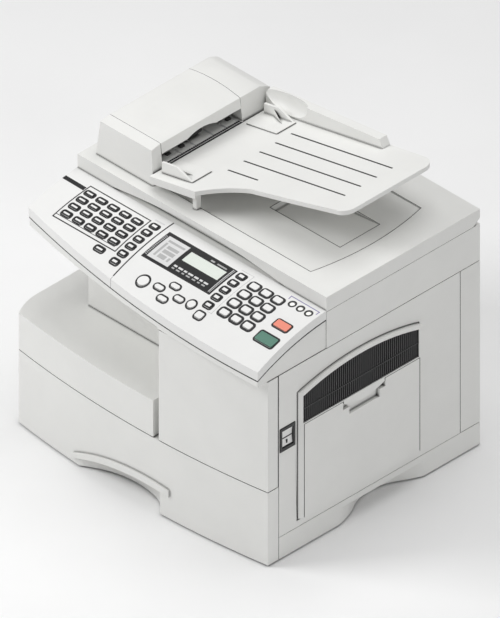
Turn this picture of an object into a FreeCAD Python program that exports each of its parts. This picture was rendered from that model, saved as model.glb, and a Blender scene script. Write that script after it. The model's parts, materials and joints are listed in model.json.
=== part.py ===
import FreeCAD, Part
import Sketcher
import math
import os

# A desktop laser fax and copier: a body with a paper cassette, doors and engine, a flatbed scanner
# with its control panel, and a hinged lid that carries the document feeder.
# X runs to the right, Y to the back and Z up. The origin is at the middle of the footprint.

doc = FreeCAD.newDocument("fax_machine")
sheet = doc.addObject("Spreadsheet::Sheet", "Sizes")

SIZES = [
    ("right_x", 273), ("left_x", -264), ("flare_x", -280), ("corner_y", -217), ("rear_y", 240.5),
    ("bulge", 20), ("foot_top", 2), ("base_top", 43), ("cassette_top", 138), ("ledge_z", 207),
    ("deck_z", 345.5), ("seam_z", 413), ("lid_top", 440.5), ("wall", 2.5), ("gap", 1),
    ("seam_y", -193), ("rear_seam_y", 197.5), ("door_left", 57), ("block_right", 45),
    ("fence_y", -128), ("fence_left", -203), ("stack_rear", 98),
    ("panel_rear", -91), ("panel_skirt", 16), ("key_travel", 2), ("key_gap", 0.5),
    ("side_low", 59.5), ("side_high", 294), ("side_front", -153), ("side_rear", 108),
    ("vent_z", 235.5), ("side_proud", 7), ("arch", 19),
    ("adf_left", -244), ("adf_right", -121), ("adf_front", -70.5), ("adf_rear", 187),
    ("adf_top", 506), ("adf_deck", 452), ("tray_low", 462), ("tray_rise", 0.2035), ("tray_thick", 8),
    ("tray_right", 232), ("grip_depth", 31), ("grip_top", 31.5),
]
for row, (alias, value) in enumerate(SIZES, start=1):
    sheet.set("A%d" % row, alias)
    sheet.set("B%d" % row, str(value))
    sheet.setAlias("B%d" % row, alias)
doc.recompute()


class Size:
    """A length: its value in millimetres and the sheet expression that gives it."""

    def __init__(self, value, text):
        self.value = value
        self.text = text

    def _join(self, sign, other, value):
        return Size(value, "(%s %s %s)" % (self.text, sign, as_size(other).text))

    def __add__(self, other):
        return self._join("+", other, self.value + as_size(other).value)

    def __sub__(self, other):
        return self._join("-", other, self.value - as_size(other).value)

    def __mul__(self, other):
        return self._join("*", other, self.value * as_size(other).value)

    def __truediv__(self, other):
        return self._join("/", other, self.value / as_size(other).value)


def as_size(number):
    if isinstance(number, Size):
        return number
    return Size(float(number), "(%.5f)" % number)


def cell(alias):
    return Size(float(sheet.get(alias)), "Sizes." + alias)


def bind(item, prop, size):
    """Set a property from a size; one that comes from the sheet is bound to it."""
    size = as_size(size)
    if "Sizes." in size.text:
        item.setExpression(prop, size.text)
    else:
        target, _, last = prop.rpartition(".")
        if target:
            base = FreeCAD.Vector(item.Placement.Base)
            setattr(base, last, size.value)
            item.Placement = FreeCAD.Placement(base, item.Placement.Rotation)
        else:
            setattr(item, prop, size.value)


def place(item, corner, rotation=None):
    numbers = [as_size(c).value for c in corner]
    item.Placement = FreeCAD.Placement(FreeCAD.Vector(*numbers), rotation or FreeCAD.Rotation())
    for axis, number in zip("xyz", corner):
        if "Sizes." in as_size(number).text:
            bind(item, "Placement.Base." + axis, number)


counter = {"made": 0}
nodes = {}
AXES = {
    "X": FreeCAD.Rotation(FreeCAD.Vector(0, 1, 0), 90),
    "Y": FreeCAD.Rotation(FreeCAD.Vector(1, 0, 0), -90),
    "Z": FreeCAD.Rotation(),
}


def add(kind, name=None):
    counter["made"] += 1
    return doc.addObject(kind, "%s_%d" % (name or "item", counter["made"]))


def box(corner, far):
    """A box from its low corner to its high corner."""
    item = add("Part::Box", "box")
    for prop, low, high in zip(("Length", "Width", "Height"), corner, far):
        bind(item, prop, as_size(high) - low)
    place(item, corner)
    return item


def rod(centre, radius, length, axis="Y"):
    """A cylinder that starts at centre and runs along axis."""
    item = add("Part::Cylinder", "rod")
    bind(item, "Radius", radius)
    bind(item, "Height", length)
    place(item, centre, AXES[axis])
    return item


def fuse(*items):
    if len(items) == 1:
        return items[0]
    item = add("Part::MultiFuse", "fuse")
    item.Shapes = list(items)
    return item


def cut(base, *tools):
    item = add("Part::Cut", "cut")
    item.Base = base
    item.Tool = fuse(*tools)
    return item


def common(first, second):
    item = add("Part::MultiCommon", "common")
    item.Shapes = [first, second]
    return item


def outline(points, plane, offset, depth):
    """A closed outline drawn in a sketch and extruded. A point is (a, b); one of four numbers
    (a, b, via_a, via_b) ends at (a, b) by an arc through the via point."""
    sketch = add("Sketcher::SketchObject", "outline")
    turn = {
        "XY": FreeCAD.Rotation(),
        "XZ": FreeCAD.Rotation(FreeCAD.Vector(1, 0, 0), 90),
        "YZ": FreeCAD.Rotation(FreeCAD.Vector(1, 1, 1), 120),
    }[plane]
    offset = as_size(offset)
    normal = {"XY": "z", "XZ": "y", "YZ": "x"}[plane]
    corner = [offset if name == normal else 0 for name in "xyz"]
    place(sketch, corner, turn)
    flat = [tuple(as_size(value).value for value in point) for point in points]
    for index, point in enumerate(flat):
        last = FreeCAD.Vector(flat[index - 1][0], flat[index - 1][1], 0)
        here = FreeCAD.Vector(point[0], point[1], 0)
        if len(point) == 4:
            via = FreeCAD.Vector(point[2], point[3], 0)
            sketch.addGeometry(Part.Arc(last, via, here), False)
        else:
            sketch.addGeometry(Part.LineSegment(last, here), False)
    item = add("Part::Extrusion", "solid")
    item.Base = sketch
    item.DirMode = "Normal"
    item.Solid = True
    bind(item, "LengthFwd", depth)
    return item


def node(label, item):
    """Name a finished piece; its label is its file's name."""
    item.Label = label
    nodes[label] = item
    return item


# ---- driving sizes ----------------------------------------------------------------------------
RIGHT = cell("right_x")
LEFT = cell("left_x")
FLARE = cell("flare_x")
CORNER = cell("corner_y")
REAR = cell("rear_y")
FOOT = cell("foot_top")
BASE_TOP = cell("base_top")
CASSETTE_TOP = cell("cassette_top")
LEDGE = cell("ledge_z")
DECK = cell("deck_z")
SEAM = cell("seam_z")
LID_TOP = cell("lid_top")
WALL = cell("wall")
GAP = cell("gap")
SEAM_Y = cell("seam_y")
REAR_SEAM = cell("rear_seam_y")
DOOR_LEFT = cell("door_left")
BLOCK_RIGHT = cell("block_right")
FENCE_Y = cell("fence_y")
FENCE_LEFT = cell("fence_left")
STACK_REAR = cell("stack_rear")
PANEL_REAR = cell("panel_rear")

MIDDLE_X = (RIGHT.value + LEFT.value) / 2
HALF_CHORD = (RIGHT.value - LEFT.value) / 2
BULGE = cell("bulge").value
FRONT_RADIUS = (HALF_CHORD ** 2 + BULGE ** 2) / (2 * BULGE)


def front_y(x, inset=0.0):
    """The Y of the bowed front at x, moved in from the surface."""
    centre = CORNER.value - BULGE + FRONT_RADIUS
    return centre - math.sqrt((FRONT_RADIUS - inset) ** 2 - (x - MIDDLE_X) ** 2)


def front_slab(x0, x1, z0, z1, y_back, inset=0.0):
    """A block with the bowed front between x0 and x1, back to y_back."""
    middle = (x0 + x1) / 2
    points = [
        (x0, y_back),
        (x0, front_y(x0, inset)),
        (x1, front_y(x1, inset), middle, front_y(middle, inset)),
        (x1, y_back),
    ]
    return outline(points, "XY", z0, as_size(z1) - z0)


def left_corner(z0, z1, inset=0.0):
    """The swept left front corner of the lower body, behind the bowed front."""
    x_edge = LEFT.value
    x_side = FLARE.value + inset
    points = [
        (x_edge + 40, -157 + inset),
        (x_edge + 40, front_y(x_edge + 40, inset)),
        (x_edge + inset * 0.3, front_y(x_edge, inset)),
        (x_side, -157 + inset, x_side + 4.2, -190 + inset * 0.5),
    ]
    return outline(points, "XY", z0, as_size(z1) - z0)


# ---- lower body --------------------------------------------------------------------------------
def base_frame():
    """The base tray with its side beams; the right beam has the scooped hand grip."""
    inner_right = RIGHT.value - 45
    right_beam = box((inner_right, SEAM_Y, FOOT), (RIGHT, REAR, BASE_TOP))
    left_beam = box((FLARE, -156, FOOT), (FLARE + 30, REAR, BASE_TOP))
    rear_beam = box((FLARE, REAR - 30, FOOT), (RIGHT, REAR, BASE_TOP))
    pan = box((FLARE + 5, -156, FOOT), (RIGHT - 5, REAR - 5, FOOT + 3))
    edge = RIGHT.value
    depth = cell("grip_depth").value
    grip_low, grip_high = -64, 118
    middle = (grip_low + grip_high) / 2
    shoulder = depth / 2
    scoop = outline(
        [
            (edge + 2, grip_low),
            (edge, grip_low),
            (edge - shoulder, grip_low + 46, edge - 6, grip_low + 24),
            (edge - shoulder, grip_high - 32, edge - depth, middle + 10),
            (edge, grip_high, edge - 6, grip_high - 13),
            (edge + 2, grip_high),
        ],
        "XY", FOOT - 1, cell("grip_top") - FOOT + 1)
    return node("base_frame", cut(fuse(right_beam, left_beam, rear_beam, pan), scoop))


def feet():
    """Four rubber feet under the base."""
    spots = [(-250, -120), (-250, 200), (225, -150), (225, 215)]
    pads = [rod((x, y, 0), 9, FOOT, "Z") for x, y in spots]
    return node("feet", fuse(*pads))


def right_cover():
    """The right side panel, open for the side cover and the power switch."""
    panel = box((RIGHT - WALL, SEAM_Y, BASE_TOP + 0.5), (RIGHT, REAR_SEAM, DECK - GAP))
    door_hole = side_region(-1.5, RIGHT - 5, RIGHT + 5, cell("side_low").value - 2.5)
    switch_hole = box((RIGHT - 5, -191.5, 200), (RIGHT + 5, -158, 244))
    return node("right_cover", cut(panel, door_hole, switch_hole))


def left_cover():
    """The left side panel, cut low beside the paper output."""
    panel = box((FLARE, -155.5, BASE_TOP + 0.5), (FLARE + WALL, REAR_SEAM, LEDGE - 4))
    upper = box((LEFT, STACK_REAR + 4, LEDGE + GAP), (LEFT + WALL, REAR_SEAM, DECK - GAP))
    step = box((FLARE, STACK_REAR + 4, LEDGE - 4), (LEFT + WALL, REAR_SEAM, LEDGE + GAP))
    return node("left_cover", fuse(panel, upper, step))


def rear_cover():
    """The rear panel with short returns on both sides and a row of cooling slots."""
    shell = box((FLARE, REAR_SEAM + GAP, BASE_TOP + 0.5), (RIGHT, REAR, DECK - GAP))
    hollow = box((FLARE + WALL, REAR_SEAM - 5, BASE_TOP - 5), (RIGHT - WALL, REAR - WALL, DECK + 5))
    shoulder = box((FLARE - 1, REAR_SEAM - 5, LEDGE + GAP), (LEFT, REAR + 1, DECK + 5))
    shoulder_wall = box((LEFT, REAR_SEAM + GAP, LEDGE + GAP), (LEFT + WALL, REAR, DECK - GAP))
    cap = box((FLARE, REAR_SEAM + GAP, LEDGE - 4), (LEFT + WALL, REAR, LEDGE + GAP))
    slots = [box((-40 + 12 * index, REAR - 6, 240), (-34 + 12 * index, REAR + 2, 300)) for index in range(8)]
    sockets = box((-238, REAR - 6, 58), (-110, REAR + 2, 96))
    return node("rear_cover", cut(fuse(cut(shell, hollow, shoulder), shoulder_wall, cap), sockets, *slots))


def output_tray():
    """The left block: a bowed front band, the flat ledge with the paper bed, and the rear wall."""
    low = CASSETTE_TOP + 1.5
    right = BLOCK_RIGHT.value
    outer = fuse(front_slab(LEFT.value, right, low, LEDGE, -157), left_corner(low, LEDGE))
    inner = fuse(front_slab(LEFT.value + 3, right - 3, low - 5, LEDGE - 3, -150, 3),
                 left_corner(low - 5, LEDGE - 3, 3))
    band = cut(outer, inner)
    ledge = box((FLARE, -157.5, LEDGE - 3), (DOOR_LEFT - 3, STACK_REAR, LEDGE))
    rear_wall = box((LEFT, STACK_REAR, LEDGE - 3), (DOOR_LEFT - 3, STACK_REAR + 3, DECK - GAP))
    strip = box((right - 3, -206, low), (DOOR_LEFT - 1, -203, LEDGE))
    strip_top = box((right - 3, -206, LEDGE - 3), (DOOR_LEFT - 3, -157, LEDGE))
    return node("output_tray", fuse(band, ledge, rear_wall, strip, strip_top))


def output_fence():
    """The front and side walls of the paper output; sheets leave through the slot to the left."""
    wall_x = DOOR_LEFT - 2.7
    front = box((FENCE_LEFT, FENCE_Y, LEDGE + 0.2), (DOOR_LEFT + 0.2, FENCE_Y + 2.5, DECK - GAP))
    side = box((wall_x, FENCE_Y, LEDGE + 0.2), (DOOR_LEFT + 0.2, STACK_REAR - 0.3, DECK - GAP))
    screen = box((wall_x, -209.5, LEDGE + 0.2), (DOOR_LEFT + 0.2, FENCE_Y + 1, DECK - GAP))
    throat = box((wall_x - 5, -118, 300), (DOOR_LEFT + 5, 92, 322))
    return node("output_fence", fuse(cut(fuse(front, side), throat), screen))


def front_door():
    """The tall front door, wrapped round the right corner and hinged there."""
    low = CASSETTE_TOP + 1.5
    high = DECK - GAP
    right = RIGHT.value
    outer = fuse(front_slab(DOOR_LEFT.value, right, low, high, -200),
                 box((right - 20, CORNER + 0.02, low), (RIGHT, SEAM_Y - 2.5, high)))
    inner = fuse(front_slab(DOOR_LEFT.value + 3, right - 3, low.value + 3, high.value - 3, -190, 3),
                 box((right - 30, CORNER + 10, low + 3), (RIGHT - 3, SEAM_Y + 5, high - 3)))
    knuckle = rod((RIGHT - 4.5, -201, low + 1), 3.5, 203, "Z")
    trimmed = cut(outer, inner, box((DOOR_LEFT - 5, -211, low - 5), (right - 3.2, -180, high + 5)))
    return node("front_door", fuse(trimmed, knuckle))


def engine_plates():
    """The steel plates that hold the shafts, one at the front and one at the rear."""
    holes = [(150, 230, 5), (215, 185, 6), (165, 292, 6), (75, 311, 4), (205, 156, 5), (240, 205, 4)]
    for label, y in (("front_frame_plate", -118), ("rear_frame_plate", 140)):
        plate = box((62, y, BASE_TOP + 98), (262, y + 2, DECK - 3))
        drilled = [rod((x, y - 5, z), r + 0.05, 12, "Y") for x, z, r in holes]
        node(label, cut(plate, *drilled))


def shaft_roller(label, x, z, shaft, radius, ends=(-117.5, 141.5), grip=(-108, 132)):
    """A roller on a shaft that runs in both plates."""
    spindle = rod((x, ends[0], z), shaft, ends[1] - ends[0], "Y")
    body = rod((x, grip[0], z), radius, grip[1] - grip[0], "Y")
    return node(label, fuse(spindle, body))


def engine():
    """The laser unit, toner cartridge, rollers, motor and boards."""
    node("laser_unit", cut(box((66, -110, 200), (120, 134, 262)), box((62, -100, 226), (68, 124, 236))))
    shaft_roller("drum", 150, 230, 5, 15)
    shaft_roller("transfer_roller", 215, 185, 6, 10)
    shaft_roller("fuser_roller", 165, 292, 6, 17)
    shaft_roller("exit_roller", 75, 311, 4, 8)
    shell = box((125, -112, 171), (196, 136, 262))
    recess = box((124, -109, 211), (171, 133, 251))
    shaft_way = box((140, -115, 222), (160, 139, 240))
    node("toner_cartridge", cut(shell, recess, shaft_way))
    node("main_motor", fuse(rod((110, 143, 190), 24, 22, "Y"), rod((110, 165, 190), 4, 10, "Y")))
    node("main_board", box((-240, 192, 60), (-60, 194, 190)))
    node("power_supply", fuse(box((-250, 110, 124), (-60, 188, 126)), box((-240, 120, 126), (-180, 175, 167)),
                              rod((-120, 150, 126), 15, 40, "Z")))


def rear_sockets():
    """The mains inlet, two telephone sockets and a data socket in one rear bracket."""
    bracket = box((-237.5, REAR - 18, 58.5), (-110.5, REAR - 0.5, 95.5))
    inlet = box((-232, REAR - 15, 65), (-204, REAR, 87))
    phones = [box((-190 + 20 * index, REAR - 12, 68), (-178 + 20 * index, REAR, 80)) for index in range(2)]
    data = box((-140, REAR - 12, 68), (-126, REAR, 80))
    return node("rear_sockets", cut(bracket, inlet, data, *phones))


def power_switch():
    """The black switch frame and its rocker, low on the right side."""
    frame = box((RIGHT - 12, -191, 200.5), (RIGHT + 1.2, -158.5, 243.5))
    hole = box((RIGHT - 13, -187, 206), (RIGHT + 3, -162.5, 238))
    pivot = (RIGHT.value - 5, 222)
    way = rod((pivot[0], -190, pivot[1]), 2.1, 30.5, "Y")
    node("switch_frame", cut(frame, hole, way))
    blade = outline(
        [
            (RIGHT.value - 9, 209), (RIGHT.value - 1, 207.6),
            (RIGHT.value - 1, 236.4, RIGHT.value - 2.5, 222), (RIGHT.value - 9, 235),
        ],
        "XZ", -163, 23.5)
    pin = rod((pivot[0], -189, pivot[1]), 2, 28.5, "Y")
    node("power_rocker", fuse(blade, pin))


# ---- side cover and bypass door -----------------------------------------------------------------
def side_region(y_in, x0, x1, z_low, extra=0.0):
    """The side cover's arched outline, moved in by y_in on each side."""
    front = cell("side_front").value + y_in
    rear = cell("side_rear").value - y_in
    high = cell("side_high").value - y_in + extra
    points = [
        (front, z_low + y_in), (rear, z_low + y_in), (rear, high),
        (front, high, (front + rear) / 2, high + cell("arch").value),
    ]
    return outline(points, "YZ", x0, as_size(x1) - x0)


SIDE_PINS = [(-147, 7), (100, 6)]
BAR_PITCH = 4.4


def vent_window(y_in, x0, x1, z_low):
    """The vent's outline under the side cover's arch."""
    region = side_region(y_in, x0, x1, cell("side_low").value)
    return common(region, box((RIGHT - 20, -200, z_low), (RIGHT + 20, 150, 340)))


def vent_grille():
    """The dark insert of the vent: fine upright bars on a plate, with one rib across them."""
    low = cell("vent_z") + 1.5
    plate = box((RIGHT - 2, -160, low), (RIGHT + 0.5, 110, 330))
    bars = [box((RIGHT - 1, -146 + BAR_PITCH * index, low), (RIGHT + 5.2, -143.6 + BAR_PITCH * index, 330))
            for index in range(57)]
    rib = box((RIGHT - 1, -160, 262), (RIGHT + 5.8, 110, 264))
    window = vent_window(6.02, RIGHT - 8, RIGHT + 14, low)
    node("vent_grille", common(fuse(plate, rib, *bars), window))


def side_pins(radius, extra):
    """The two pins that the side cover and the bypass door both turn on."""
    return [rod((275, y - extra, 64), radius, length + 2 * extra, "Y") for y, length in SIDE_PINS]


def side_cover():
    """The side cover: a raised arched frame with a louvred vent and a finger tab."""
    low = cell("side_low").value
    face = RIGHT + cell("side_proud")
    shell = side_region(0, RIGHT - 3, face, low)
    door_hole = box((RIGHT - 10, cell("side_front") + 7, low - 5),
                    (RIGHT + 12, cell("side_rear") - 3.5, cell("vent_z") - 0.5))
    window = vent_window(6, RIGHT - 8, RIGHT + 14, cell("vent_z") + 1.5)
    vent_z = cell("vent_z").value
    tab = outline(
        [
            (-60, vent_z + 1), (28, vent_z + 1), (28, vent_z - 6),
            (-60, vent_z - 6, -16, vent_z - 15),
        ],
        "YZ", RIGHT + 1, face - RIGHT - 1)
    tab_hollow = outline(
        [
            (-56, vent_z - 2), (24, vent_z - 2), (24, vent_z - 7),
            (-56, vent_z - 7, -16, vent_z - 17),
        ],
        "YZ", RIGHT - 1, cell("side_proud") - 1.5)
    bevel = outline([(RIGHT.value - 0.01, -155), (RIGHT.value + 9, -155), (RIGHT.value + 9, -144)],
                    "XY", low - 10, 300)
    body = cut(shell, door_hole, window, bevel)
    return node("side_cover", fuse(body, cut(tab, tab_hollow), *side_pins(1.8, 0)))


def bypass_door():
    """The bypass tray door: a flat panel with a finger pocket and a feed tray inside."""
    face = RIGHT + cell("side_proud")
    front = cell("side_front").value + 8.5
    rear = cell("side_rear").value - 5
    panel = box((RIGHT - 1, front, cell("side_low") + 1), (face, rear, cell("vent_z") - 1.6))
    rim = box((RIGHT - 3, front + 6, cell("side_low") + 6), (RIGHT - 1, rear - 6, cell("side_low") + 150))
    pocket = box((RIGHT + 0.5, -48, cell("vent_z") - 30), (face + 2, 17, cell("vent_z") + 2))
    tab_room = box((RIGHT + 0.5, -61.5, cell("vent_z") - 16.5), (face + 2, 29.5, cell("vent_z") + 2))
    return node("bypass_door", cut(fuse(panel, rim), pocket, tab_room, *side_pins(1.95, 0.5)))


def bypass_guides():
    """Two paper guides that slide on the inside of the bypass door."""
    for label, y in (("bypass_guide_front", -126), ("bypass_guide_rear", 78)):
        node(label, box((RIGHT - 15, y, 110), (RIGHT - 3.4, y + 3, 190)))


# ---- cassette ----------------------------------------------------------------------------------
def pull_scoop():
    """The hollow under the cassette's lip, deepest to the right of its middle."""
    outside = -250
    plan = outline(
        [
            (-118, outside),
            (-118, front_y(-118) - 0.5),
            (-76, -212, -100, -223),
            (30, -211, -20, -203),
            (60, front_y(60) - 0.5, 48, -223),
            (60, outside),
        ],
        "XY", FOOT - 1, 62)
    under = outline([(-130, 0), (-130, 24), (70, 52, -24, 50), (70, 0)], "XZ", -190, 80)
    return common(plan, under)


def cassette():
    """The paper cassette: bowed front, tray box, lift plate and paper guides."""
    low = FOOT.value + 1
    outer = fuse(front_slab(LEFT.value, RIGHT.value, low, CASSETTE_TOP, -200),
                 left_corner(low, CASSETTE_TOP),
                 box((RIGHT - 20, CORNER + 0.02, low), (RIGHT, SEAM_Y - 1, CASSETTE_TOP)))
    pocket_left = box((-250, -204, low + 8), (-125, -150, CASSETTE_TOP - 8))
    pocket_right = box((62, -208, low + 8), (266, -190, CASSETTE_TOP - 8))
    pocket_top = box((-125, -214, 70), (62, -190, CASSETTE_TOP - 8))
    lip = common(
        front_slab(-132, 84, low, CASSETTE_TOP, -214, -4),
        outline([(-130, 12, -24, 44), (-130, 22), (80, 57, -24, 56), (80, 45)], "XZ", -190, 80))
    front = fuse(cut(outer, pull_scoop(), pocket_left, pocket_right, pocket_top), lip)
    node("cassette_front", front)
    shell = box((-242, -190, 46), (234, 190, 118))
    hollow = box((-239, -187, 49), (231, 187, 125))
    arm = box((-120, -200, 46), (55, -190, 66))
    node("cassette_tray", fuse(cut(shell, hollow), arm))
    plate = box((-90, -104, 51), (226, 118, 53))
    slots = [box((-62, -106, 49), (46, -50, 55)), box((-62, 64, 49), (46, 120, 55))]
    node("lift_plate", fuse(cut(plate, *slots), rod((-90, -104, 52), 1, 222, "Y")))
    node("width_guide_front", box((-60, -112, 49.5), (40, -108, 115)))
    node("width_guide_rear", box((-60, 122, 49.5), (40, 126, 115)))
    shaft_roller("pickup_roller", 205, 156, 5, 16, grip=(-20, 40))
    shaft_roller("bypass_roller", 240, 205, 4, 11, grip=(-20, 40))


base_frame()
feet()
right_cover()
left_cover()
rear_cover()
output_tray()
output_fence()
front_door()
engine_plates()
engine()
rear_sockets()
power_switch()
side_cover()
vent_grille()
bypass_door()
bypass_guides()
cassette()


# ---- scanner -----------------------------------------------------------------------------------
PANEL_RADIUS = 392.8
PANEL_CENTRE_Y = -61.5
PANEL_CENTRE_Z = 24.2
KEY_TILT = math.radians(14)
GLASS = (-180, -60, 130, 158)


def panel_z(y, drop=0.0):
    """The height of the crowned panel at y."""
    reach = PANEL_RADIUS ** 2 - (y - PANEL_CENTRE_Y) ** 2
    return PANEL_CENTRE_Z + math.sqrt(reach) - drop


def panel_plan(inset, z0, z1, rear_inset=0.0):
    """The panel's outline seen from above: its front edge sweeps back at the left."""
    return outline(
        [
            (LEFT.value + inset, PANEL_REAR.value - rear_inset),
            (LEFT.value + inset, -196 + inset),
            (RIGHT.value - inset, -239 + inset, 10, -234 + inset),
            (RIGHT.value - inset, PANEL_REAR.value - rear_inset),
        ],
        "XY", z0, z1 - z0)


def panel_layer(top_drop, low_drop):
    """A layer of the crowned panel between two depths under its surface."""
    rear = PANEL_REAR.value + 2
    front = -246
    middle = (rear + front) / 2
    return outline(
        [
            (rear, panel_z(rear, low_drop), middle, panel_z(middle, low_drop)),
            (rear, panel_z(rear, top_drop)),
            (front, panel_z(front, top_drop), middle, panel_z(middle, top_drop)),
            (front, panel_z(front, low_drop)),
        ],
        "YZ", LEFT - 5, RIGHT - LEFT + 10)


def under_slope(lift):
    """The wedge of air under the panel's left end, over the paper output."""
    low = DECK.value + lift
    high = low + 14.2
    return outline(
        [
            (-250, low - 6), (-250, low - 1), (-196, high), (-186, high), (-160, low - 1),
            (-160, low - 6),
        ],
        "YZ", LEFT - 5, DOOR_LEFT - LEFT + 1)


def scanner_base():
    """The scanner tub with its glass frame, and the tray that carries the control panel."""
    tub = cut(box((LEFT, PANEL_REAR + 0.5, DECK), (RIGHT, REAR, SEAM)),
              box((LEFT + 3, PANEL_REAR + 3.5, DECK + 3), (RIGHT - 3, REAR - 3, SEAM - 3)),
              box((GLASS[0] + 4, GLASS[1] + 4, SEAM - 10), (GLASS[2] - 4, GLASS[3] - 4, SEAM + 5)),
              box((GLASS[0] - 0.2, GLASS[1] - 0.2, SEAM - 3), (GLASS[2] + 0.2, GLASS[3] + 0.2, SEAM + 5)))
    ledges = cut(box((GLASS[0] - 6, GLASS[1] - 6, SEAM - 6), (GLASS[2] + 6, GLASS[3] + 6, SEAM - 3)),
                 box((GLASS[0] + 4, GLASS[1] + 4, SEAM - 10), (GLASS[2] - 4, GLASS[3] - 4, SEAM + 5)))
    low = DECK.value
    under = common(panel_plan(1.2, low, SEAM.value, -2), panel_layer(18, 90))
    hollow = common(panel_plan(7, low + 3, SEAM.value, 3), panel_layer(5, 90))
    under = cut(under, under_slope(0))
    hollow = cut(hollow, under_slope(3))
    rods = [rod((LEFT + 1, y, 372), 4.05, 535, "X") for y in (-20, 110)]
    return node("scanner_base", cut(fuse(tub, ledges, cut(under, hollow)), *rods))


def scanner_inside():
    """The glass, the guide rods and the scan carriage."""
    node("platen_glass", box((GLASS[0], GLASS[1], SEAM - 3), (GLASS[2], GLASS[3], SEAM)))
    node("scan_rods", fuse(*[rod((LEFT + 1, y, 372), 4, 535, "X") for y in (-20, 110)]))
    carriage = box((-178, -54, 366), (-146, 150, 398))
    ways = [rod((-200, y, 372), 4.1, 80, "X") for y in (-20, 110)]
    slit = box((-165, -45, 385), (-159, 141, 400))
    node("scan_carriage", cut(carriage, slit, *ways))


# ---- control panel -----------------------------------------------------------------------------
def key_block(x, y, width, depth, corner, proud=1.6, sink=8.0, grow=0.0):
    """A key that stands a little above the crowned panel and slides along the keys' tilt. Its
    corners are rounded; grow makes it larger all round, for the hole it moves in."""
    turn = FreeCAD.Rotation(FreeCAD.Vector(1, 0, 0), math.degrees(KEY_TILT))
    base = FreeCAD.Vector(x, y, panel_z(y))
    height = sink + proud + grow * 4
    low = -sink - grow * 2
    half_width = width / 2 + grow
    half_depth = depth / 2 + grow
    radius = corner + grow
    reach_x = half_width - radius
    reach_y = half_depth - radius
    items = []
    for side_x in sorted({-reach_x, reach_x}):
        for side_y in sorted({-reach_y, reach_y}):
            end = add("Part::Cylinder", "key")
            end.Radius = radius
            end.Height = height
            end.Placement = FreeCAD.Placement(base + turn.multVec(FreeCAD.Vector(side_x, side_y, low)), turn)
            items.append(end)
    for across, along in ((reach_x, half_depth), (half_width, reach_y)):
        if min(across, along) > 0.01:
            bar = add("Part::Box", "key")
            bar.Length = 2 * across
            bar.Width = 2 * along
            bar.Height = height
            near = FreeCAD.Vector(-across, -along, low)
            bar.Placement = FreeCAD.Placement(base + turn.multVec(near), turn)
            items.append(bar)
    return fuse(*items)


def grid(x, y, columns, rows, step_x, step_y):
    return [(x + column * step_x, y - row * step_y) for row in range(rows) for column in range(columns)]


KEY_GROUPS = {
    "one_touch_keys": [(x, y, 16, 7, 2) for x, y in grid(-203, -124, 5, 4, 25.4, 16.8)],
    "function_keys": [(-71.7, -116 - 17.2 * index, 13, 8, 2) for index in range(6)]
    + [(-109.8, -197, 16, 7, 2)],
    "menu_keys": [(-6.5, -206, 19, 19, 9.5), (24, -202, 17, 8, 4), (45, -188, 17, 8, 4),
                  (43.5, -215, 17, 8, 4), (67, -202.5, 17, 8, 4), (91.5, -200, 14, 14, 7),
                  (117, -208.5, 14, 12, 3)],
    "mode_keys": [(115.8, -116 - 17.9 * index, 13, 9, 2) for index in range(5)],
    "number_keys": [(x, y, 15.5, 10.5, 2.5) for x, y in grid(147.5, -120, 3, 4, 25.2, 21.6)],
    "stop_key": [(243.2, -155.7, 28, 14, 2)],
    "start_key": [(241.8, -188.6, 36, 18, 2)],
}
LIGHTS = [(221.5 + 17.5 * index, -112.6) for index in range(3)]
DISPLAY = (-45, -172.5, 102, -110.5)
SEAM_LINE = -55.0


def display_block(x0, y0, x1, y1, top, low):
    """A flat-sided block that follows the panel's crown between two heights over it."""
    return common(panel_layer(-top, -low), box((x0, y0, 330), (x1, y1, 440)))


def control_panel():
    """The panel's two covers with a hole for each key, and what is set in them."""
    outer = common(panel_plan(0, 340, 430), panel_layer(0, 16))
    inner = common(panel_plan(3, 340, 430, 3), panel_layer(3, 40))
    skin = cut(outer, inner)
    holes = []
    for keys in KEY_GROUPS.values():
        for x, y, width, depth, corner in keys:
            holes.append(key_block(x, y, width, depth, corner, 3, 9, 0.5))
    holes += [rod((x, y, 395), 4.6, 30, "Z") for x, y in LIGHTS]
    holes.append(box((DISPLAY[0] - 0.2, DISPLAY[1] - 0.2, 380), (DISPLAY[2] + 0.2, DISPLAY[3] + 0.2, 430)))
    drilled = cut(skin, *holes)
    split = SEAM_LINE
    node("one_touch_cover", cut(drilled, box((split - 0.3, -260, 330), (RIGHT + 10, -60, 440))))
    node("panel_cover", cut(drilled, box((LEFT - 10, -260, 330), (split + 0.3, -60, 440))))
    window = (14, -144, 90, -122)
    bezel = display_block(*DISPLAY, 0.4, -5)
    pane_hole = box((window[0] - 0.2, window[1] - 0.2, 380), (window[2] + 0.2, window[3] + 0.2, 430))
    node("display_bezel", cut(bezel, pane_hole))
    node("display_window", display_block(*window, -0.3, -4))
    node("status_lights", fuse(*[rod((x, y, 406), 4.2, 7.9, "Z") for x, y in LIGHTS]))
    for label, keys in KEY_GROUPS.items():
        caps = [key_block(x, y, width, depth, corner, 1.6, 7) for x, y, width, depth, corner in keys]
        node(label, fuse(*caps))


# ---- lid and document feeder -------------------------------------------------------------------
HINGE_Y = 234
HINGE_Z = 424
HINGE_SPOTS = (-180, 190)


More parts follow.
